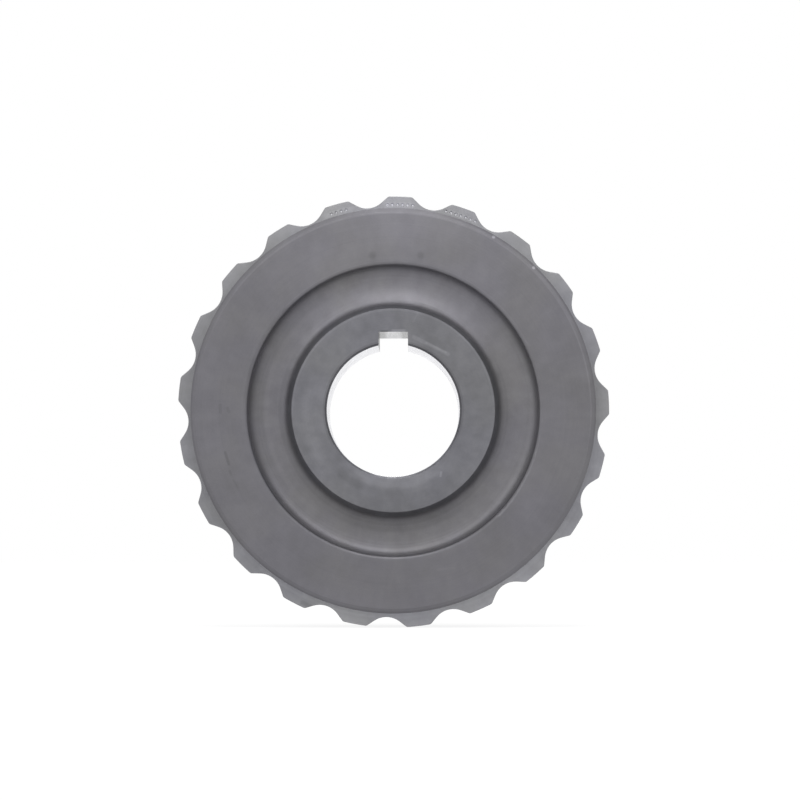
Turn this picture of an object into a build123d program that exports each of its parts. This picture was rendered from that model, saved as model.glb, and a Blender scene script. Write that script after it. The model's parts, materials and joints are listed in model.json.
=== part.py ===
from build123d import *
from math import asin, cos, degrees, radians, sin, tan
import os

os.makedirs("parts", exist_ok=True)

# A toothed pulley built up from turned rings. Millimetres. The shaft axis is the Y axis,
# the front face looks towards -Y, +Z is up, and the keyway is at the top of the bore.
# The origin is on the shaft axis, halfway along the hub.

# ---- Driving dimensions ----------------------------------------------------------------

HUB_LENGTH = 40.0            # front hub face to rear hub face
BORE_RADIUS = 18.0           # 36 mm shaft
BORE_CHAMFER = 0.6
KEYWAY_WIDTH = 8.0           # seat of an 8 x 7 key
KEYWAY_DEPTH = 3.3           # above the crown of the bore
HUB_RADIUS = 28.7            # outside of the hub, where the web is pressed on
HUB_NOSE_RADIUS = 27.65      # outside of the hub at its front face, from where it tapers out
EDGE_BREAK = 0.15            # sharp turned edges are taken off by this much
REAR_HUB_CHAMFER = 1.0

WEB_RADIUS = 39.2            # outside of the web, where it is pressed into the rim
WEB_REAR_RECESS = 16.0       # from the rear hub face down to the flat rear face of the web
WEB_REAR_CHAMFER = 0.4
DISH_DEPTH = 4.2             # deepest circle of the web's concave front, below the front face
DISH_BOTTOM_RADIUS = 34.5    # that circle's radius
DISH_ARC_RADIUS = 11.2       # section arc along the bottom of the dish
DISH_HUB_SWEEP = 22.0        # degrees of that arc on the hub's side of the deepest circle
DISH_RIM_SWEEP = 11.0        # and on the rim's side
DISH_HUB_FILLET = 3.3        # section arcs that turn up to the hub and to the rim
DISH_RIM_FILLET = 3.8

MOUTH_RADIUS = 39.45         # flared front mouth of the rim
MOUTH_ROUNDING = 1.2
SEAT_RADIUS = 47.0           # seat of the toothed ring on the rim's sleeve
DISC_RADIUS = 55.0           # front disc, in front of the teeth
DISC_THICKNESS = 12.0
DISC_BEVEL = 1.25

TOOTH_COUNT = 21
TIP_RADIUS = 59.0
ROOT_RADIUS = 56.18          # bottom of the belt grooves
ROOT_ARC_RADIUS = 6.0        # round bottom of each groove
FLANK_ANGLE = 55.0           # from the groove's centreline to its flank
TOOTH_FACE_WIDTH = 24.0      # suits a 20 mm belt
GROOVE_OVERCUT = 1.0         # groove outline runs this far past the tips
FIRST_TOOTH_ANGLE = 88.2     # tooth nearest the keyway, from +X towards +Z
TOOTH_TIP_ROUNDING = 1.0
TOOTH_EDGE_CHAMFER = 0.15    # along the whole outline of both end faces

MARK_COUNTS = (7, 6, 4)      # rows of punched dots on three teeth, from the one before the first
MARK_CIRCLE_RADIUS = 56.75
MARK_SPACING = 1.4
MARK_RADIUS = 0.45
MARK_DEPTH = 0.3
MARK_TAPER = 40.0

REAR_RING_BORE = 40.0
REAR_RING_BEVEL = 0.6

SCREW_COUNT = 6              # M4 x 35 countersunk socket screws
SCREW_CIRCLE_RADIUS = 50.5
SCREW_RADIUS = 2.0
SCREW_LENGTH = 35.0
SCREW_HEAD_RADIUS = 3.8
SCREW_HEAD_SINK = 0.15       # head lies this far below the rear face
SCREW_CLEARANCE_RADIUS = 2.25
SCREW_SOCKET_ACROSS_FLATS = 2.5
SCREW_SOCKET_DEPTH = 1.5
SCREW_TIP_CHAMFER = 0.4
TAPPED_HOLE_EXTRA = 1.0      # tapped hole is deeper than the screw by this much
FIRST_SCREW_ANGLE = 30.0

DOWEL_COUNT = 3              # 5 mm dowels that carry the belt's pull into the front disc
DOWEL_RADIUS = 2.5
DOWEL_IN_DISC = 8.0
DOWEL_IN_RING = 12.0
DOWEL_CHAMFER = 0.4
FIRST_DOWEL_ANGLE = 60.0

PIN_COUNT = 3                # 4 mm pins in each pressed joint of the web
PIN_RADIUS = 2.0
PIN_LENGTH = 14.0
PIN_CHAMFER = 0.3
PIN_SINK = 0.5               # pin ends lie this far below the web's rear face
HUB_PIN_ANGLE = 30.0
RIM_PIN_ANGLE = 90.0

# ---- Stations along the shaft axis -----------------------------------------------------

FRONT_FACE = -HUB_LENGTH / 2
REAR_FACE = HUB_LENGTH / 2
RING_FRONT = FRONT_FACE + DISC_THICKNESS
RING_REAR = RING_FRONT + TOOTH_FACE_WIDTH
WEB_REAR_FACE = REAR_FACE - WEB_REAR_RECESS
KEYWAY_TOP = BORE_RADIUS + KEYWAY_DEPTH


class SectionArc:
    """Arc in the web's front section, hollow towards the front. Angles are from +Y, positive outwards."""

    def __init__(self, centre, radius):
        self.centre = centre
        self.radius = radius

    def point(self, angle):
        return (
            self.centre[0] + self.radius * sin(radians(angle)),
            self.centre[1] + self.radius * cos(radians(angle)),
        )

    def angle_at(self, distance_from_axis):
        return degrees(asin((distance_from_axis - self.centre[0]) / self.radius))

    def fillet_at(self, angle, radius):
        """Smaller arc that leaves this one at an angle without a kink."""
        shift = self.radius - radius
        centre = (self.centre[0] + shift * sin(radians(angle)), self.centre[1] + shift * cos(radians(angle)))
        return SectionArc(centre, radius)

    def draw(self, start, end):
        ThreePointArc(self.point(start), self.point((start + end) / 2), self.point(end))


dish_arc = SectionArc((DISH_BOTTOM_RADIUS, FRONT_FACE + DISH_DEPTH - DISH_ARC_RADIUS), DISH_ARC_RADIUS)
hub_fillet = dish_arc.fillet_at(-DISH_HUB_SWEEP, DISH_HUB_FILLET)
rim_fillet = dish_arc.fillet_at(DISH_RIM_SWEEP, DISH_RIM_FILLET)
HUB_FILLET_START = hub_fillet.angle_at(HUB_RADIUS)
RIM_FILLET_END = rim_fillet.angle_at(WEB_RADIUS)
WEB_HUB_EDGE = hub_fillet.point(HUB_FILLET_START)
WEB_RIM_EDGE = rim_fillet.point(RIM_FILLET_END)


def across_axis(station):
    """Plane square to the shaft at a station along Y. Local x is +X, local y is +Z, normal is -Y."""
    return Plane.XZ.offset(-station)


def spaced_angles(first_angle, count):
    """Angles of count equal features around the shaft, starting from first_angle."""
    return [first_angle + step * 360 / count for step in range(count)]


def rear_planes(radius, station, first_angle, count):
    """Planes around a circle at a station along Y, each with its normal towards the rear."""
    return [
        Plane(
            origin=(radius * cos(radians(angle)), station, radius * sin(radians(angle))),
            x_dir=(cos(radians(angle)), 0, sin(radians(angle))),
            z_dir=(0, 1, 0),
        )
        for angle in spaced_angles(first_angle, count)
    ]


def finish(part, name):
    """Name a finished sub-part and write its file."""
    part.label = name
    export_step(part, f"parts/{name}.step")


# ---- Hub: the steel sleeve that takes the shaft and its key ----------------------------

def make_hub():
    with BuildPart() as hub:
        with BuildSketch(Plane.XY):
            with BuildLine():
                Polyline(
                    (BORE_RADIUS + BORE_CHAMFER, FRONT_FACE),
                    (HUB_NOSE_RADIUS - EDGE_BREAK, FRONT_FACE),
                    (HUB_NOSE_RADIUS, FRONT_FACE + EDGE_BREAK),
                    WEB_HUB_EDGE,
                    (HUB_RADIUS, REAR_FACE - REAR_HUB_CHAMFER),
                    (HUB_RADIUS - REAR_HUB_CHAMFER, REAR_FACE),
                    (BORE_RADIUS + BORE_CHAMFER, REAR_FACE),
                    (BORE_RADIUS, REAR_FACE - BORE_CHAMFER),
                    (BORE_RADIUS, FRONT_FACE + BORE_CHAMFER),
                    close=True,
                )
            make_face()
        revolve(axis=Axis.Y)
        with BuildSketch(across_axis(FRONT_FACE)):
            with Locations((0, KEYWAY_TOP / 2)):
                Rectangle(KEYWAY_WIDTH, KEYWAY_TOP)
        extrude(amount=-HUB_LENGTH, mode=Mode.SUBTRACT)
        with BuildSketch(across_axis(WEB_REAR_FACE)):
            with PolarLocations(HUB_RADIUS, PIN_COUNT, start_angle=HUB_PIN_ANGLE):
                Circle(PIN_RADIUS)
        extrude(amount=PIN_LENGTH + PIN_SINK, mode=Mode.SUBTRACT)
    finish(hub.part, "hub")


# ---- Web: the dished plate between the hub and the rim ---------------------------------

def make_web():
    with BuildPart() as web:
        with BuildSketch(Plane.XY):
            with BuildLine():
                Line((HUB_RADIUS, WEB_REAR_FACE - WEB_REAR_CHAMFER), WEB_HUB_EDGE)
                hub_fillet.draw(HUB_FILLET_START, -DISH_HUB_SWEEP)
                dish_arc.draw(-DISH_HUB_SWEEP, DISH_RIM_SWEEP)
                rim_fillet.draw(DISH_RIM_SWEEP, RIM_FILLET_END)
                Polyline(
                    WEB_RIM_EDGE,
                    (WEB_RADIUS, WEB_REAR_FACE - WEB_REAR_CHAMFER),
                    (WEB_RADIUS - WEB_REAR_CHAMFER, WEB_REAR_FACE),
                    (HUB_RADIUS + WEB_REAR_CHAMFER, WEB_REAR_FACE),
                    (HUB_RADIUS, WEB_REAR_FACE - WEB_REAR_CHAMFER),
                )
            make_face()
        revolve(axis=Axis.Y)
        with BuildSketch(across_axis(WEB_REAR_FACE)):
            with PolarLocations(HUB_RADIUS, PIN_COUNT, start_angle=HUB_PIN_ANGLE):
                Circle(PIN_RADIUS)
            with PolarLocations(WEB_RADIUS, PIN_COUNT, start_angle=RIM_PIN_ANGLE):
                Circle(PIN_RADIUS)
        extrude(amount=PIN_LENGTH + PIN_SINK, mode=Mode.SUBTRACT)
    finish(web.part, "web")


# ---- Rim: the bevelled front disc, in one piece with the sleeve behind it --------------

def make_rim():
    with BuildPart() as rim:
        with BuildSketch(Plane.XY):
            with BuildLine():
                Polyline(
                    (MOUTH_RADIUS + MOUTH_ROUNDING, FRONT_FACE),
                    (DISC_RADIUS - DISC_BEVEL, FRONT_FACE),
                    (DISC_RADIUS, FRONT_FACE + DISC_BEVEL),
                    (DISC_RADIUS, RING_FRONT),
                    (SEAT_RADIUS, RING_FRONT),
                    (SEAT_RADIUS, RING_REAR),
                    (WEB_RADIUS, RING_REAR),
                    WEB_RIM_EDGE,
                    (MOUTH_RADIUS, FRONT_FACE + MOUTH_ROUNDING),
                )
                RadiusArc(
                    (MOUTH_RADIUS + MOUTH_ROUNDING, FRONT_FACE),
                    (MOUTH_RADIUS, FRONT_FACE + MOUTH_ROUNDING),
                    MOUTH_ROUNDING,
                )
            make_face()
        revolve(axis=Axis.Y)
        with BuildSketch(across_axis(RING_FRONT)):
            with PolarLocations(SCREW_CIRCLE_RADIUS, SCREW_COUNT, start_angle=FIRST_SCREW_ANGLE):
                Circle(SCREW_RADIUS)
        tapped_depth = SCREW_LENGTH - (REAR_FACE - RING_FRONT) + TAPPED_HOLE_EXTRA
        extrude(amount=tapped_depth, mode=Mode.SUBTRACT)
        with BuildSketch(across_axis(RING_FRONT)):
            with PolarLocations(SCREW_CIRCLE_RADIUS, DOWEL_COUNT, start_angle=FIRST_DOWEL_ANGLE):
                Circle(DOWEL_RADIUS)
        extrude(amount=DOWEL_IN_DISC, mode=Mode.SUBTRACT)
        with BuildSketch(across_axis(WEB_REAR_FACE)):
            with PolarLocations(WEB_RADIUS, PIN_COUNT, start_angle=RIM_PIN_ANGLE):
                Circle(PIN_RADIUS)
        extrude(amount=PIN_LENGTH + PIN_SINK, mode=Mode.SUBTRACT)
    finish(rim.part, "rim")


# ---- Toothed ring: the belt's teeth drive this ring ------------------------------------

def make_groove():
    """Outline of the belt groove at the top: round bottom, straight flanks, open outwards."""
    flank_rise = radians(90 - FLANK_ANGLE)
    arc_centre = ROOT_RADIUS + ROOT_ARC_RADIUS
    arc_end_x = ROOT_ARC_RADIUS * sin(flank_rise)
    arc_end_z = arc_centre - ROOT_ARC_RADIUS * cos(flank_rise)
    top_z = TIP_RADIUS + GROOVE_OVERCUT
    top_x = arc_end_x + (top_z - arc_end_z) / tan(flank_rise)
    with BuildSketch() as groove:
        with BuildLine():
            ThreePointArc((-arc_end_x, arc_end_z), (0, ROOT_RADIUS), (arc_end_x, arc_end_z))
            Polyline((arc_end_x, arc_end_z), (top_x, top_z), (-top_x, top_z), (-arc_end_x, arc_end_z))
        make_face()
    return groove.sketch


def mark_angles():
    """Angles of all the punched dots, in one short row to each marked tooth."""
    dot_step = degrees(MARK_SPACING / MARK_CIRCLE_RADIUS)
    angles = []
    for tooth, count in enumerate(MARK_COUNTS, start=-1):
        row_start = FIRST_TOOTH_ANGLE + tooth * 360 / TOOTH_COUNT - dot_step * (count - 1) / 2
        angles += [row_start + dot * dot_step for dot in range(count)]
    return angles


def make_toothed_ring():
    first_groove_turn = FIRST_TOOTH_ANGLE - 90 + 180 / TOOTH_COUNT
    groove = make_groove()
    with BuildPart() as toothed_ring:
        with BuildSketch(Plane.XY):
            with BuildLine():
                Polyline(
                    (SEAT_RADIUS, RING_FRONT),
                    (TIP_RADIUS, RING_FRONT),
                    (TIP_RADIUS, RING_REAR),
                    (SEAT_RADIUS, RING_REAR),
                    close=True,
                )
            make_face()
        revolve(axis=Axis.Y)
        with BuildSketch(across_axis(RING_FRONT)):
            with PolarLocations(0, TOOTH_COUNT, start_angle=first_groove_turn):
                add(groove)
        extrude(amount=-TOOTH_FACE_WIDTH, mode=Mode.SUBTRACT)
        flanks = toothed_ring.faces().filter_by(GeomType.PLANE).filter_by(Axis.Y, reverse=True)
        tips = [flank.edges().filter_by(Axis.Y).sort_by(SortBy.DISTANCE)[-1] for flank in flanks]
        fillet(tips, TOOTH_TIP_ROUNDING)
        end_faces = toothed_ring.faces().filter_by(Axis.Y)
        outlines = [edge for face in end_faces for edge in face.outer_wire().edges()]
        chamfer(outlines, TOOTH_EDGE_CHAMFER)
        with BuildSketch(across_axis(RING_FRONT)):
            with PolarLocations(SCREW_CIRCLE_RADIUS, SCREW_COUNT, start_angle=FIRST_SCREW_ANGLE):
                Circle(SCREW_CLEARANCE_RADIUS)
        extrude(amount=-TOOTH_FACE_WIDTH, mode=Mode.SUBTRACT)
        with BuildSketch(across_axis(RING_FRONT)):
            with PolarLocations(SCREW_CIRCLE_RADIUS, DOWEL_COUNT, start_angle=FIRST_DOWEL_ANGLE):
                Circle(DOWEL_RADIUS)
        extrude(amount=-DOWEL_IN_RING, mode=Mode.SUBTRACT)
        with BuildSketch(across_axis(RING_FRONT)):
            for angle in mark_angles():
                with PolarLocations(MARK_CIRCLE_RADIUS, 1, start_angle=angle):
                    Circle(MARK_RADIUS)
        extrude(amount=-MARK_DEPTH, taper=MARK_TAPER, mode=Mode.SUBTRACT)
    finish(toothed_ring.part, "toothed_ring")


# ---- Rear ring: closes the sleeve and clamps the toothed ring against the disc ---------

def make_rear_ring():
    with BuildPart() as rear_ring:
        with BuildSketch(Plane.XY):
            with BuildLine():
                Polyline(
                    (REAR_RING_BORE, RING_REAR),
                    (DISC_RADIUS, RING_REAR),
                    (DISC_RADIUS, REAR_FACE - REAR_RING_BEVEL),
                    (DISC_RADIUS - REAR_RING_BEVEL, REAR_FACE),
                    (REAR_RING_BORE + REAR_RING_BEVEL, REAR_FACE),
                    (REAR_RING_BORE, REAR_FACE - REAR_RING_BEVEL),
                    close=True,
                )
            make_face()
        revolve(axis=Axis.Y)
        with Locations(*rear_planes(SCREW_CIRCLE_RADIUS, REAR_FACE, FIRST_SCREW_ANGLE, SCREW_COUNT)):
            CounterSinkHole(
                radius=SCREW_CLEARANCE_RADIUS,
                counter_sink_radius=SCREW_HEAD_RADIUS + SCREW_HEAD_SINK,
                depth=REAR_FACE - RING_REAR,
                counter_sink_angle=90,
            )
    finish(rear_ring.part, "rear_ring")


# ---- Fasteners -------------------------------------------------------------------------

def make_ring_screws():
    """Countersunk socket screws, from the rear ring through the toothed ring into the front disc."""
    cone_height = SCREW_HEAD_RADIUS - SCREW_RADIUS
    with BuildPart() as screw:
        with BuildSketch(Plane.XZ):
            with BuildLine():
                Polyline(
                    (0, 0),
                    (SCREW_HEAD_RADIUS, 0),
                    (SCREW_RADIUS, -cone_height),
                    (SCREW_RADIUS, SCREW_TIP_CHAMFER - SCREW_LENGTH),
                    (SCREW_RADIUS - SCREW_TIP_CHAMFER, -SCREW_LENGTH),
                    (0, -SCREW_LENGTH),
                    close=True,
                )
            make_face()
        revolve(axis=Axis.Z)
        with BuildSketch(Plane.XY):
            RegularPolygon(SCREW_SOCKET_ACROSS_FLATS / 2, 6, major_radius=False)
        extrude(amount=-SCREW_SOCKET_DEPTH, mode=Mode.SUBTRACT)
    head_station = REAR_FACE - SCREW_HEAD_SINK
    with BuildPart() as ring_screws:
        with Locations(*rear_planes(SCREW_CIRCLE_RADIUS, head_station, FIRST_SCREW_ANGLE, SCREW_COUNT)):
            add(screw.part)
    finish(ring_screws.part, "ring_screws")


def make_round_pins(name, radius, length, chamfer_size, planes):
    """Plain cylindrical pins, one standing back from each plane towards the front."""
    with BuildPart() as pin:
        with BuildSketch(Plane.XY):
            Circle(radius)
        extrude(amount=-length)
        chamfer(pin.edges().filter_by(GeomType.CIRCLE), chamfer_size)
    with BuildPart() as pins:
        with Locations(*planes):
            add(pin.part)
    finish(pins.part, name)


def make_ring_dowels():
    """Dowels that carry the belt's pull from the toothed ring into the front disc."""
    planes = rear_planes(SCREW_CIRCLE_RADIUS, RING_FRONT + DOWEL_IN_RING, FIRST_DOWEL_ANGLE, DOWEL_COUNT)
    length = DOWEL_IN_RING + DOWEL_IN_DISC
    make_round_pins("ring_dowels", DOWEL_RADIUS, length, DOWEL_CHAMFER, planes)


def make_web_pins():
    """Pins that lie half in each side of the web's two pressed joints."""
    station = WEB_REAR_FACE - PIN_SINK
    hub_joint = rear_planes(HUB_RADIUS, station, HUB_PIN_ANGLE, PIN_COUNT)
    rim_joint = rear_planes(WEB_RADIUS, station, RIM_PIN_ANGLE, PIN_COUNT)
    make_round_pins("hub_pins", PIN_RADIUS, PIN_LENGTH, PIN_CHAMFER, hub_joint)
    make_round_pins("rim_pins", PIN_RADIUS, PIN_LENGTH, PIN_CHAMFER, rim_joint)


make_hub()
make_web()
make_rim()
make_toothed_ring()
make_rear_ring()
make_ring_screws()
make_ring_dowels()
make_web_pins()
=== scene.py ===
import json
import math

import bpy
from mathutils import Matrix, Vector


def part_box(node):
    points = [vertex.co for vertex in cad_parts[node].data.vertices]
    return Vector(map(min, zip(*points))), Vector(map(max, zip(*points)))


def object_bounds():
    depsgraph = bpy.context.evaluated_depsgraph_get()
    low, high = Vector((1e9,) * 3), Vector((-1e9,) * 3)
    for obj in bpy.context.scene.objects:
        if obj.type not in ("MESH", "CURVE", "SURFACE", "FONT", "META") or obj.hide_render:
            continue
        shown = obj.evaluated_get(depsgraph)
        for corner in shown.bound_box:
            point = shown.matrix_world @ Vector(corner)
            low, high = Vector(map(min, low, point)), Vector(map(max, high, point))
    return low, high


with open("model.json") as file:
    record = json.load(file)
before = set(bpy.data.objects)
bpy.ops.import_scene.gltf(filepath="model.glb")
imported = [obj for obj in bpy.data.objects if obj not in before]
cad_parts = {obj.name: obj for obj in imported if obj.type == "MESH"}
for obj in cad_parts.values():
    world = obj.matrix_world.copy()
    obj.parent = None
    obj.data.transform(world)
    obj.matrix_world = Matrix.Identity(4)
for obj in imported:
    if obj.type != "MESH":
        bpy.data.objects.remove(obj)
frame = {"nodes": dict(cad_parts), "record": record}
cad_low, cad_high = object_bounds()

# The shaft axis is +Y, the front face looks towards -Y and the keyway is at +Z. Lengths are in metres
# here, and in millimetres inside the materials. Angles around the shaft start at +X and go towards +Z.

hub_low, hub_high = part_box("hub")
ring_low, ring_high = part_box("toothed_ring")
mounts = {mount["name"]: mount for mount in frame["record"]["mounts"]}

MM = 1000.0                                   # millimetres in a metre
FRONT = hub_low.y * MM                        # front faces of the hub and the disc
REAR = hub_high.y * MM
RING_FRONT = ring_low.y * MM                  # front and rear faces of the teeth
RING_REAR = ring_high.y * MM
BORE_RADIUS = mounts["bore"]["dims"]["r_mm"]
BORE_CHAMFER = 0.6
KEYWAY_TOP = mounts["keyway"]["pos_m"][2] * MM
KEYWAY_HALF_WIDTH = 4.0
NOSE_RADIUS = 27.65                           # outside of the hub at its front face
WEB_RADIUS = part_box("web")[1].x * MM          # joint between web and rim
MOUTH_RADIUS = 39.45                          # mouth of the dish, below its rounding
MOUTH_ROUNDING = 1.2
DISH_DEPTH = 4.2
DISC_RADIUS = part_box("rim")[1].x * MM
DISC_BEVEL = 1.25
SCREW_CIRCLE = 50.5
SCREW_COUNT = 6
FIRST_SCREW_ANGLE = 30
ROOT_RADIUS = 56.18                           # bottom of the belt grooves
TOOTH_COUNT = 21
FIRST_TOOTH_ANGLE = 88.2                      # tooth nearest the keyway
DOTS_INSIDE, DOTS_OUTSIDE = 56.28, 57.3       # the punched dots lie between these radii
SKIN = 0.05                                   # depth that still counts as on a face

FEED = 0.35                                   # spacing of the turning tool's marks
TONE_SCALE = 0.05                             # noise scales, in features per millimetre
MOTTLE_SCALE = 0.09
STAIN_SCALE = 0.35
GRAIN_SCALE = 2.2


# ---- Shader building -------------------------------------------------------------------

class Surface:
    """One material: adds shader nodes, and gives positions on the pulley in millimetres."""

    def __init__(self, name, roughness, metallic=0.8):
        self.material = bpy.data.materials.new(name)
        self.material.use_nodes = True
        self.nodes = self.material.node_tree.nodes
        self.links = self.material.node_tree.links
        self.shader = self.nodes["Principled BSDF"]
        self.shader.inputs["Metallic"].default_value = metallic
        self.shader.inputs["Roughness"].default_value = roughness
        self.plain_roughness = roughness
        coordinates = self.add("ShaderNodeTexCoord").outputs["Object"]
        self.position = self.vector("MULTIPLY", coordinates, (MM, MM, MM))
        parts = self.add("ShaderNodeSeparateXYZ", {0: self.position})
        self.x, self.y, self.z = parts.outputs
        self.flat = self.vector("MULTIPLY", self.position, (1, 0, 1))
        self.radius = self.length(self.flat)
        self.outwards = self.vector("NORMALIZE", self.flat, (0, 0, 0))

    def add(self, kind, inputs=None, **settings):
        node = self.nodes.new(kind)
        for key, value in settings.items():
            setattr(node, key, value)
        for key, value in (inputs or {}).items():
            self.put(node.inputs[key], value)
        return node

    def put(self, socket, value):
        if isinstance(value, bpy.types.NodeSocket):
            self.links.new(value, socket)
        else:
            socket.default_value = value

    def math(self, operation, first, second=0.0, clamp=False):
        node = self.add("ShaderNodeMath", {0: first, 1: second}, operation=operation)
        node.use_clamp = clamp
        return node.outputs[0]

    def times(self, first, *others):
        for other in others:
            first = self.math("MULTIPLY", first, other)
        return first

    def vector(self, operation, first, second):
        return self.add("ShaderNodeVectorMath", {0: first, 1: second}, operation=operation).outputs[0]

    def length(self, vector):
        return self.add("ShaderNodeVectorMath", {0: vector}, operation="LENGTH").outputs["Value"]

    def dot(self, first, second):
        node = self.add("ShaderNodeVectorMath", {0: first, 1: second}, operation="DOT_PRODUCT")
        return node.outputs["Value"]

    def combine(self, x=0.0, y=0.0, z=0.0):
        return self.add("ShaderNodeCombineXYZ", {0: x, 1: y, 2: z}).outputs[0]

    def noise(self, vector, scale, detail=2.0, roughness=0.5):
        inputs = {"Vector": vector, "Scale": scale, "Detail": detail, "Roughness": roughness}
        return self.add("ShaderNodeTexNoise", inputs).outputs["Fac"]

    def ramp(self, value, low, high, out_low=0.0, out_high=1.0):
        """Smooth step of value from low to high."""
        inputs = {"Value": value, "From Min": low, "From Max": high, "To Min": out_low, "To Max": out_high}
        node = self.add("ShaderNodeMapRange", inputs, interpolation_type="SMOOTHSTEP")
        return node.outputs["Result"]

    def band(self, value, low, high, blur):
        """1 between low and high, falling to 0 over blur on each side."""
        rise = self.ramp(value, low - blur, low)
        fall = self.ramp(value, high, high + blur, 1.0, 0.0)
        return self.times(rise, fall)

    def mix(self, factor, first, second, blend="MIX"):
        node = self.add("ShaderNodeMix", data_type="RGBA", blend_type=blend)
        self.put(node.inputs["Factor"], factor)
        self.put(node.inputs[6], first)
        self.put(node.inputs[7], second)
        return node.outputs[2]

    def scale_colour(self, colour, amount):
        """Colour times a number."""
        grey = self.combine(amount, amount, amount)
        return self.mix(1.0, colour, grey, "MULTIPLY")

    def on_face(self, station, depth=SKIN):
        """1 on a face square to the shaft at a station along Y."""
        return self.band(self.y, station - depth, station + depth, 0.01)

    def towards(self, angle, spread, blur):
        """1 within spread degrees of an angle around the shaft, falling to 0 over blur degrees more."""
        turn = math.radians(angle)
        aim = self.dot(self.outwards, (math.cos(turn), 0, math.sin(turn)))
        far, near = math.cos(math.radians(spread + blur)), math.cos(math.radians(spread))
        return self.ramp(aim, far, near)

    def patch(self, inner, outer, blur, angle, spread, fade):
        """1 on a piece of a ring: between two radii and towards an angle."""
        return self.times(self.band(self.radius, inner, outer, blur), self.towards(angle, spread, fade))

    def spot(self, x, z, radius, blur):
        """1 within radius of a point of the face, falling to 0 over blur."""
        away = self.length(self.vector("SUBTRACT", self.flat, (x, 0, z)))
        return self.ramp(away, radius, radius + blur, 1.0, 0.0)

    def stroke(self, start, end, width, blur):
        """1 along a straight scratch between two (x, z) points of the face."""
        run = (end[0] - start[0], 0, end[1] - start[1])
        run_squared = run[0] ** 2 + run[2] ** 2
        from_start = self.vector("SUBTRACT", self.flat, (start[0], 0, start[1]))
        share = self.math("DIVIDE", self.dot(from_start, run), run_squared, clamp=True)
        along = self.vector("MULTIPLY", self.combine(share, share, share), run)
        away = self.length(self.vector("SUBTRACT", from_start, along))
        return self.ramp(away, width / 2, width / 2 + blur, 1.0, 0.0)

    def change(self, amount, mask):
        """Makes the surface lighter or darker by a share, where the mask is 1."""
        factor = self.math("ADD", 1.0, self.times(mask, amount))
        self.level = self.times(self.level, factor)

    def mottle(self, noise, low, high, share):
        """Makes the surface darker and lighter by up to a share, where a noise goes from low to high."""
        self.level = self.times(self.level, self.ramp(noise, low, high, 1 - share, 1 + share))

    def scratch(self, face, marks):
        """Straight marks on a face: from and to (x, z), width, blur, and how much lighter or darker."""
        for start, end, width, blur, amount in marks:
            self.change(amount, self.times(self.stroke(start, end, width, blur), face))


def rgb(red, green, blue):
    """Colour as a shader takes it, from the 0-255 values of a colour picker."""
    def linear(value):
        value = value / 255
        return value / 12.92 if value <= 0.04045 else ((value + 0.055) / 1.055) ** 2.4
    return linear(red), linear(green), linear(blue), 1.0


def turned_steel(name, colour, warm, roughness, mottling=0.05, speckle=0.02):
    """Darkened steel with concentric tool marks, soft mottling, small stains and a fine grain."""
    s = Surface(name, roughness)
    s.tint = s.mix(s.ramp(s.noise(s.position, TONE_SCALE, 3.0), 0.35, 0.65), colour, warm)
    across_feed = s.math("DIVIDE", s.math("ADD", s.radius, s.y), FEED)
    along_cut = s.vector("MULTIPLY", s.outwards, (0.8, 0.8, 0.8))
    cut = s.add("ShaderNodeSeparateXYZ", {0: along_cut}).outputs
    s.marks = s.noise(s.combine(across_feed, cut[0], cut[2]), 1.0, 3.0, 0.7)
    s.grain = s.noise(s.position, GRAIN_SCALE, 3.0, 0.7)
    s.level = 1.0
    s.mottle(s.noise(s.position, MOTTLE_SCALE, 4.0, 0.6), 0.25, 0.75, mottling)
    s.mottle(s.noise(s.position, STAIN_SCALE, 5.0, 0.65), 0.3, 0.7, speckle)
    s.mottle(s.marks, 0.2, 0.8, 0.025)
    s.mottle(s.grain, 0.2, 0.8, 0.03)
    return s


def vary_roughness(s, mask, polished):
    """Takes the roughness down to polished where the mask is 1, with a little unevenness everywhere."""
    uneven = s.ramp(s.grain, 0.2, 0.8, -0.03, 0.03)
    roughness = s.ramp(mask, 0.0, 1.0, s.plain_roughness, polished)
    s.put(s.shader.inputs["Roughness"], s.math("ADD", roughness, uneven))


def finish_steel(s, bump=0.05):
    """Joins the colour, the level and the tool marks to the shader."""
    s.put(s.shader.inputs["Base Color"], s.scale_colour(s.tint, s.level))
    height = s.math("ADD", s.times(s.marks, 0.7), s.times(s.grain, 0.3))
    bump_node = s.add("ShaderNodeBump", {"Strength": 0.25, "Distance": bump / MM, "Height": height})
    s.put(s.shader.inputs["Normal"], bump_node.outputs["Normal"])
    return s.material


# ---- Materials -------------------------------------------------------------------------

# An amount is a share of the surface's lightness. Angles are in degrees around the shaft.

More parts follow.
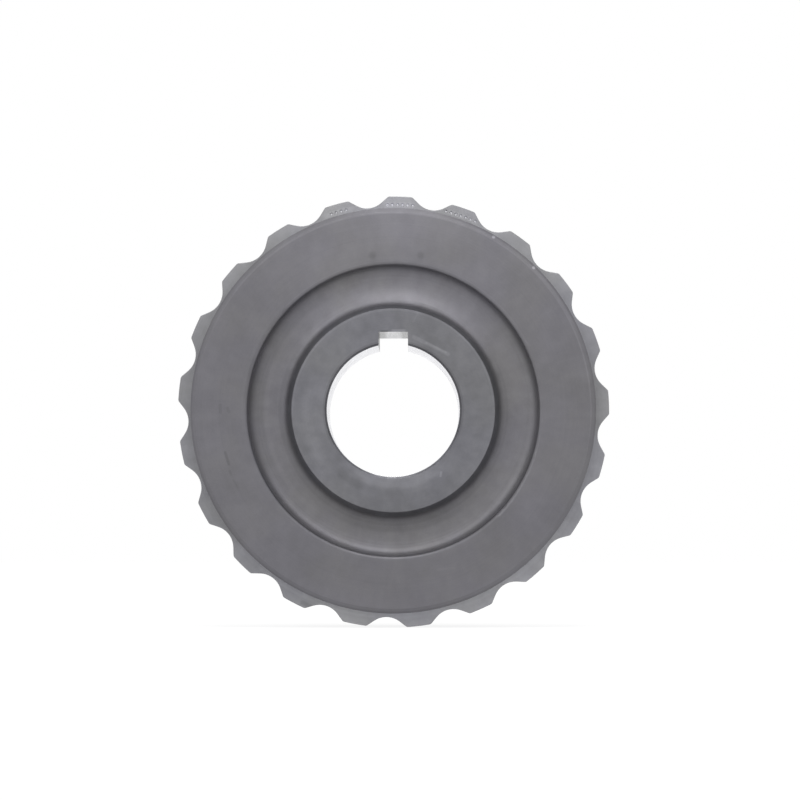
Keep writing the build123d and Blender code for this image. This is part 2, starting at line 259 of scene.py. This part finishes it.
def hub_material():
    """Turned faces, a bare ground bore and a broached keyway."""
    s = turned_steel("hub_steel", rgb(103, 103, 108), rgb(102, 102, 105), 0.42, mottling=0.10, speckle=0.055)
    face = s.on_face(FRONT)
    face_edge = BORE_RADIUS + BORE_CHAMFER

    # Rubbed ring beside the bore at the bottom, and the left of the face wiped lighter.
    s.change(0.31, s.times(s.patch(18.6, 20.3, 1.8, 269, 25, 25), face))
    s.change(0.13, s.times(s.patch(19.0, 23.5, 2.0, 188, 16, 22), face))
    # Painted shade on the bore's chamfer and beside it, except at the bottom, where the chamfer faces the
    # light.
    on_chamfer = s.band(s.y, FRONT + 0.02, FRONT + BORE_CHAMFER, 0.02)
    s.change(-0.32, s.times(s.patch(BORE_RADIUS + 0.05, face_edge, 0.05, 90, 108, 22), on_chamfer))
    s.change(-0.15, s.times(s.patch(face_edge, face_edge + 0.35, 0.3, 90, 108, 22), face))
    # Painted shade along the left of the keyway's edge, and a painted highlight of a burr along the right.
    keyway_edge_painted_shade = s.times(s.band(s.z, KEYWAY_TOP, KEYWAY_TOP + 0.22, 0.12), s.band(s.x, -3.2, -1.6, 0.5))
    s.change(-0.65, s.times(keyway_edge_painted_shade, face))
    burr_painted_highlight = s.times(s.band(s.z, KEYWAY_TOP + 0.1, KEYWAY_TOP + 0.6, 0.15), s.band(s.x, 0.0, 2.9, 0.8))
    s.change(0.38, s.times(burr_painted_highlight, face))
    s.scratch(face, [
        ((5.6, 19.9), (14.9, 15.2), 0.5, 0.5, 0.2),         # beside the keyway
        ((9.0, 18.3), (14.2, 15.7), 0.2, 0.35, 0.2),        # its deeper end
        ((5.3, 23.9), (6.7, 26.4), 0.15, 0.25, 0.08),
        ((13.0, -16.8), (12.8, -17.8), 0.3, 0.3, 0.3),      # nick
        ((-13.6, -16.8), (-9.4, -19.7), 2.0, 1.5, -0.11),   # wiped patches, wide and soft
        ((-21.8, -9.0), (-17.3, -18.6), 1.6, 2.2, 0.07),
        ((3.2, -21.6), (9.6, -20.1), 0.8, 1.2, 0.06),
    ])
    # Painted highlight on the edge of the nose towards the top.
    s.change(0.12, s.times(s.patch(NOSE_RADIUS - 0.6, NOSE_RADIUS - 0.1, 0.15, 90, 60, 40), face))

    # Ring rubbed by a spacer on the rear face, with a dark edge of oil.
    rear = s.on_face(REAR)
    seat = s.times(s.band(s.radius, 19.8, 24.0, 0.3), rear)
    s.change(0.13, seat)
    s.change(-0.14, s.times(s.band(s.radius, 24.3, 24.6, 0.4), rear))
    s.scratch(rear, [
        ((-9.5, 23.4), (-4.2, 25.6), 0.15, 0.2, 0.12),
        ((20.5, -8.0), (23.6, -11.5), 0.15, 0.2, 0.10),
    ])

    # Bare metal on the walls of the bore and of the keyway.
    bore = s.ramp(s.radius, BORE_RADIUS + 0.02, BORE_RADIUS + 0.06, 1.0, 0.0)
    near_key = s.times(s.band(s.x, -KEYWAY_HALF_WIDTH - 0.02, KEYWAY_HALF_WIDTH + 0.02, 0.01),
                       s.math("GREATER_THAN", s.z, 0.0))
    in_keyway = s.times(near_key, s.math("LESS_THAN", s.z, KEYWAY_TOP + 0.02), s.math("SUBTRACT", 1.0, face))
    bare = s.math("MAXIMUM", bore, in_keyway)
    s.tint = s.mix(bare, s.tint, rgb(232, 232, 236))
    # The broached wall is darker and streaked along the shaft, and painted shade darkens it further towards
    # its corners.
    corner = s.ramp(s.math("ABSOLUTE", s.x), 1.5, 2.7)
    broached = s.noise(s.combine(s.times(s.x, 1.6), s.times(s.y, 0.03), s.z), 1.0, 3.0, 0.7)
    s.change(-0.4, in_keyway)
    s.change(-0.8, s.times(corner, in_keyway))
    s.change(-0.3, s.times(s.ramp(broached, 0.4, 0.7), in_keyway))
    vary_roughness(s, s.math("MAXIMUM", bare, s.times(seat, 0.6)), 0.26)
    return finish_steel(s)


def web_material():
    """Dished plate, with painted shade and painted highlights in the dish."""
    s = turned_steel("web_steel", rgb(108, 107, 112), rgb(108, 107, 109), 0.45, mottling=0.06, speckle=0.045)
    dish = s.math("LESS_THAN", s.y, FRONT + DISH_DEPTH + 0.1)
    # Painted shade on the left of the dish, in the corner beside the hub and on its slopes at the bottom,
    # with a painted highlight on a ring at the bottom.
    s.change(-0.12, s.times(s.patch(36.0, WEB_RADIUS, 1.5, 172, 25, 40), dish))
    s.change(-0.12, s.times(s.patch(28.9, 30.8, 0.8, 270, 105, 30), dish))
    s.change(-0.12, s.times(s.patch(29.2, 32.4, 1.2, 272, 15, 30), dish))
    s.change(-0.07, s.times(s.patch(37.1, 37.9, 0.3, 275, 15, 25), dish))
    s.change(0.06, s.times(s.patch(35.9, 36.7, 0.5, 270, 25, 25), dish))
    # Painted light on the outer edge of the dish, where it lies in shade.
    s.change(0.14, s.times(s.ramp(s.radius, 37.7, 38.6), dish))
    return finish_steel(s)


def disc_material():
    """Front disc and rear ring, with handling marks on both faces."""
    s = turned_steel("disc_steel", rgb(103, 102, 107), rgb(103, 102, 105), 0.45, mottling=0.07, speckle=0.03)
    face = s.on_face(FRONT)
    # Small dark spots above the dish, each with a short dark streak below it.
    for x in (-5.65, 7.4):
        s.change(-0.16, s.times(s.spot(x, 42.1, 0.4, 1.1), face))
        s.scratch(face, [((x, 41.6), (x * 0.98, 40.6), 0.8, 0.8, -0.04)])
    s.scratch(face, [
        ((-45.5, -11.4), (-44.5, -14.6), 0.35, 0.35, -0.16),
        ((-44.3, -16.4), (-43.9, -17.4), 0.3, 0.35, -0.08),
        ((-43.2, -19.0), (-42.1, -20.8), 0.25, 0.35, -0.07),
        ((-46.9, 1.4), (-46.8, -0.5), 0.5, 0.35, -0.10),
        ((-44.9, 0.6), (-44.5, -0.4), 0.5, 0.35, -0.09),
        ((-48.6, -25.3), (-47.9, -26.4), 0.2, 0.35, 0.10),
        ((12.0, -43.2), (16.5, -42.6), 0.2, 0.35, 0.05),
        ((34.2, 20.4), (37.0, 17.6), 0.2, 0.35, 0.06),
    ])
    # Faint turned line where two cuts meet.
    s.change(-0.02, s.times(s.band(s.radius, 47.0, 47.1, 0.15), face))

    # Painted light on the wall of the mouth, where it lies in shade. Its rounding gets painted light at the
    # top, where it faces down, and painted shade on its inner half at the bottom, where it catches the
    # light.
    wall = s.times(s.ramp(s.radius, MOUTH_RADIUS, MOUTH_RADIUS + 0.1, 1.0, 0.0),
                   s.band(s.y, FRONT, FRONT + 4, 0.1))
    s.change(0.3, wall)
    rounding = s.times(s.band(s.radius, MOUTH_RADIUS + 0.1, MOUTH_RADIUS + MOUTH_ROUNDING - 0.1, 0.15),
                       s.band(s.y, FRONT, FRONT + MOUTH_ROUNDING, 0.1))
    inner_half = s.ramp(s.radius, MOUTH_RADIUS + 0.5, MOUTH_RADIUS + 0.95, 1.0, 0.0)
    s.change(0.16, s.times(rounding, s.towards(90, 45, 30)))
    s.change(-0.24, s.times(rounding, inner_half, s.towards(278, 50, 40)))

    # The bevel: a painted highlight on its inner edge at the top, painted highlights and painted shade on
    # its inner half at several angles, and painted shade on its outer half at the lower left and the top.
    bevel_start = DISC_RADIUS - DISC_BEVEL
    bevel_edge_painted_highlight = s.patch(bevel_start - 0.3, bevel_start + 0.05, 0.15, 75, 50, 45)
    s.change(0.17, s.times(bevel_edge_painted_highlight, s.band(s.y, FRONT - SKIN, FRONT + 0.1, 0.01)))
    on_bevel = s.band(s.y, FRONT, FRONT + DISC_BEVEL, 0.02)
    inner_bevel = s.times(s.band(s.radius, bevel_start + 0.15, bevel_start + 0.6, 0.2), on_bevel)
    for amount, angle, spread, fade in (
        (0.2, 55, 15, 25),
        (0.1, 20, 10, 25),
        (0.1, 122, 20, 15),
        (-0.12, 90, 12, 14),
        (0.05, 320, 20, 30),
    ):
        s.change(amount, s.times(inner_bevel, s.towards(angle, spread, fade)))
    outer_bevel = s.times(s.band(s.radius, DISC_RADIUS - 0.45, DISC_RADIUS, 0.2), on_bevel)
    s.change(-0.12, s.times(outer_bevel, s.towards(225, 60, 30)))
    s.change(-0.07, s.times(outer_bevel, s.towards(85, 15, 20)))
    # Two nicks in the bevel.
    for x, z in ((27.25, 47.05), (38.1, 38.7)):
        s.change(0.9, s.times(s.spot(x, z, 0.25, 0.35), s.math("LESS_THAN", s.y, RING_FRONT)))

    # Belt dust on the outside of the disc beside the teeth.
    dust = s.ramp(s.noise(s.position, 0.35, 3.0), 0.35, 0.6, 0.4, 1.0)
    beside_teeth = s.band(s.y, RING_FRONT - 1.5, RING_FRONT, 1.5)
    s.change(-0.14, s.times(dust, beside_teeth, s.math("GREATER_THAN", s.radius, DISC_RADIUS - 0.1)))

    # Rear ring: oil around the screws, marks of a slipped key, and a faint turned line.
    rear = s.on_face(REAR)
    for screw in range(SCREW_COUNT):
        turn = math.radians(FIRST_SCREW_ANGLE + screw * 360 / SCREW_COUNT)
        oil = s.spot(SCREW_CIRCLE * math.cos(turn), SCREW_CIRCLE * math.sin(turn), 4.0, 1.2)
        s.change(-0.16, s.times(oil, rear))
    s.scratch(rear, [
        ((-5.2, 47.2), (-1.0, 45.1), 0.2, 0.2, 0.14),
        ((40.2, -29.0), (36.8, -31.4), 0.2, 0.2, 0.14),
        ((-47.5, 24.0), (-48.6, 19.8), 0.2, 0.2, 0.14),
    ])
    s.change(-0.05, s.times(s.band(s.radius, 45.4, 45.5, 0.15), rear))
    return finish_steel(s)


def tooth_material():
    """Lighter steel, with punched dots on three teeth and a belt track."""
    s = turned_steel("tooth_steel", rgb(137, 137, 142), rgb(136, 136, 138), 0.45,
                     mottling=0.07, speckle=0.045)
    # Keeps the lands from flaring where they are seen at a low angle.
    s.shader.inputs["Specular Tint"].default_value = (0.4, 0.4, 0.4, 1.0)
    face = s.on_face(RING_FRONT, 0.004)

    # Fresh metal in the dots, and metal pushed up around them and rubbed bright.
    in_dots = s.times(s.band(s.y, RING_FRONT + 0.03, RING_FRONT + 0.3, 0.02),
                      s.band(s.radius, DOTS_INSIDE, DOTS_OUTSIDE, 0.03))
    beside_dots = s.times(s.band(s.radius, DOTS_INSIDE, DOTS_OUTSIDE - 0.1, 0.4), face)
    for tooth in (-1, 0, 1):
        angle = FIRST_TOOTH_ANGLE + tooth * 360 / TOOTH_COUNT
        s.change(0.95, s.times(in_dots, s.towards(angle, 5.0, 0.2)))
        s.change(0.1, s.times(beside_dots, s.towards(angle, 3.2, 1.5)))
    # Painted light on the faces towards the bottom, where the disc shades them, and painted shade at the top
    # and on the left.
    for amount, angle, spread, fade in (
        (0.16, 280, 25, 25),
        (0.08, 305, 45, 25),
        (-0.09, 84, 13, 10),
        (-0.06, 178, 15, 20),
    ):
        s.change(amount, s.times(s.towards(angle, spread, fade), face))
    # Painted light on the faces beside the disc at the bottom, where the disc shades them.
    s.change(0.12, s.times(s.patch(DISC_RADIUS, ROOT_RADIUS, 0.8, 280, 40, 30), face))
    # Oil stain on a lower left tooth.
    s.scratch(face, [((-24.9, -52.2), (-22.9, -53.2), 0.5, 0.7, -0.2)])

    # Belt dust in the bottoms of the grooves.
    dust = s.ramp(s.noise(s.position, 0.5, 3.0), 0.3, 0.6, 0.3, 1.0)
    groove = s.times(s.ramp(s.radius, ROOT_RADIUS + 0.1, ROOT_RADIUS + 1.0, 1.0, 0.0),
                     s.band(s.y, RING_FRONT + 2.0, RING_REAR - 2.0, 1.5))
    s.change(-0.16, s.times(dust, groove))
    # The belt has polished the lands and flanks between the two rings.
    between = s.band(s.y, RING_FRONT + 2.5, RING_REAR - 2.5, 1.0)
    across_face = s.combine(s.times(s.y, 3.0), s.times(s.radius, 0.4), s.times(s.x, 0.08))
    streaks = s.noise(across_face, 1.0, 3.0, 0.6)
    track = s.times(between, s.ramp(streaks, 0.3, 0.6, 0.6, 1.0))
    s.change(0.18, track)
    vary_roughness(s, track, 0.3)
    return finish_steel(s)


def screw_material():
    s = turned_steel("screw_steel", rgb(48, 48, 50), rgb(40, 40, 42), 0.35)
    return finish_steel(s)


def pin_material():
    s = turned_steel("pin_steel", rgb(185, 185, 188), rgb(178, 178, 178), 0.25)
    return finish_steel(s)


def dress(node, material):
    for slot in frame["nodes"][node].material_slots:
        slot.material = material


disc_steel = disc_material()
pin_steel = pin_material()
dress("hub", hub_material())
dress("web", web_material())
dress("rim", disc_steel)
dress("rear_ring", disc_steel)
dress("toothed_ring", tooth_material())
dress("ring_screws", screw_material())
dress("ring_dowels", pin_steel)
dress("hub_pins", pin_steel)
dress("rim_pins", pin_steel)


# ---- Floor, light and camera -----------------------------------------------------------

FLOOR_SIDE = 6.0
FLOOR_ALBEDO = 0.15
FLOOR_GLOW = 0.86
WORLD_STRENGTH = 1.0
SENSOR_WIDTH = 36.0                           # camera sensor and lens, in millimetres
LENS = 194.0
CAMERA_DISTANCE = 1.167                       # in front of the hub's face
CAMERA_X, CAMERA_Z = 0.0081, -0.0345
AIM_X, AIM_Z = 0.00184, 0.0028                # point of the hub's face plane at the picture's centre


def make_floor():
    mesh = bpy.data.meshes.new("floor")
    half = FLOOR_SIDE / 2
    height = cad_low.z
    corners = [(-half, -half, height), (half, -half, height), (half, half, height), (-half, half, height)]
    mesh.from_pydata(corners, [], [(0, 1, 2, 3)])
    floor = bpy.data.objects.new("floor", mesh)
    bpy.context.scene.collection.objects.link(floor)
    material = bpy.data.materials.new("floor_white")
    material.use_nodes = True
    shader = material.node_tree.nodes["Principled BSDF"]
    shader.inputs["Base Color"].default_value = (FLOOR_ALBEDO, FLOOR_ALBEDO, FLOOR_ALBEDO, 1)
    shader.inputs["Roughness"].default_value = 1.0
    shader.inputs["Specular IOR Level"].default_value = 0.0
    shader.inputs["Emission Color"].default_value = (1, 1, 1, 1)
    shader.inputs["Emission Strength"].default_value = FLOOR_GLOW
    mesh.materials.append(material)


def make_world():
    world = bpy.data.worlds.new("studio")
    bpy.context.scene.world = world
    world.use_nodes = True
    background = world.node_tree.nodes["Background"]
    background.inputs["Color"].default_value = (1, 1, 1, 1)
    background.inputs["Strength"].default_value = WORLD_STRENGTH


def softbox(name, azimuth, elevation, distance, size, radiance):
    """Round soft light aimed at the pulley. Azimuth 0 is in front, 90 to the right."""
    turn, rise = math.radians(azimuth), math.radians(elevation)
    back = Vector((math.sin(turn) * math.cos(rise), -math.cos(turn) * math.cos(rise), math.sin(rise)))
    data = bpy.data.lights.new(name, "AREA")
    data.shape = "DISK"
    data.size = size
    data.energy = radiance * math.pi * math.pi * (size / 2) ** 2
    light = bpy.data.objects.new(name, data)
    light.location = back * distance
    light.rotation_euler = back.to_track_quat("Z", "Y").to_euler()
    light.visible_camera = False
    bpy.context.scene.collection.objects.link(light)


def make_lights():
    softbox("front_fill", 0, 0, 1.6, 0.9, 0.58)
    softbox("left_softbox", -62, 8, 1.2, 0.8, 0.79)
    softbox("overhead_softbox", 0, 75, 0.8, 0.5, 3.7)
    softbox("upper_left_softbox", -45, 42, 0.7, 0.4, 1.5)
    softbox("upper_right_softbox", 45, 42, 0.7, 0.4, 1.1)
    softbox("near_top_light", 0, 42, 0.13, 0.06, 2.15)
    softbox("near_right_light", 14, 45, 0.17, 0.07, 1.4)


def make_camera():
    data = bpy.data.cameras.new("camera")
    data.sensor_width = SENSOR_WIDTH
    data.lens = LENS
    data.clip_end = 20.0
    camera = bpy.data.objects.new("camera", data)
    camera.location = (CAMERA_X, hub_low.y - CAMERA_DISTANCE, CAMERA_Z)
    target = Vector((AIM_X, hub_low.y, AIM_Z))
    camera.rotation_euler = (target - camera.location).to_track_quat("-Z", "Y").to_euler()
    bpy.context.scene.collection.objects.link(camera)
    bpy.context.scene.camera = camera


make_floor()
make_world()
make_lights()
make_camera()
bpy.context.scene.view_settings.view_transform = "Standard"
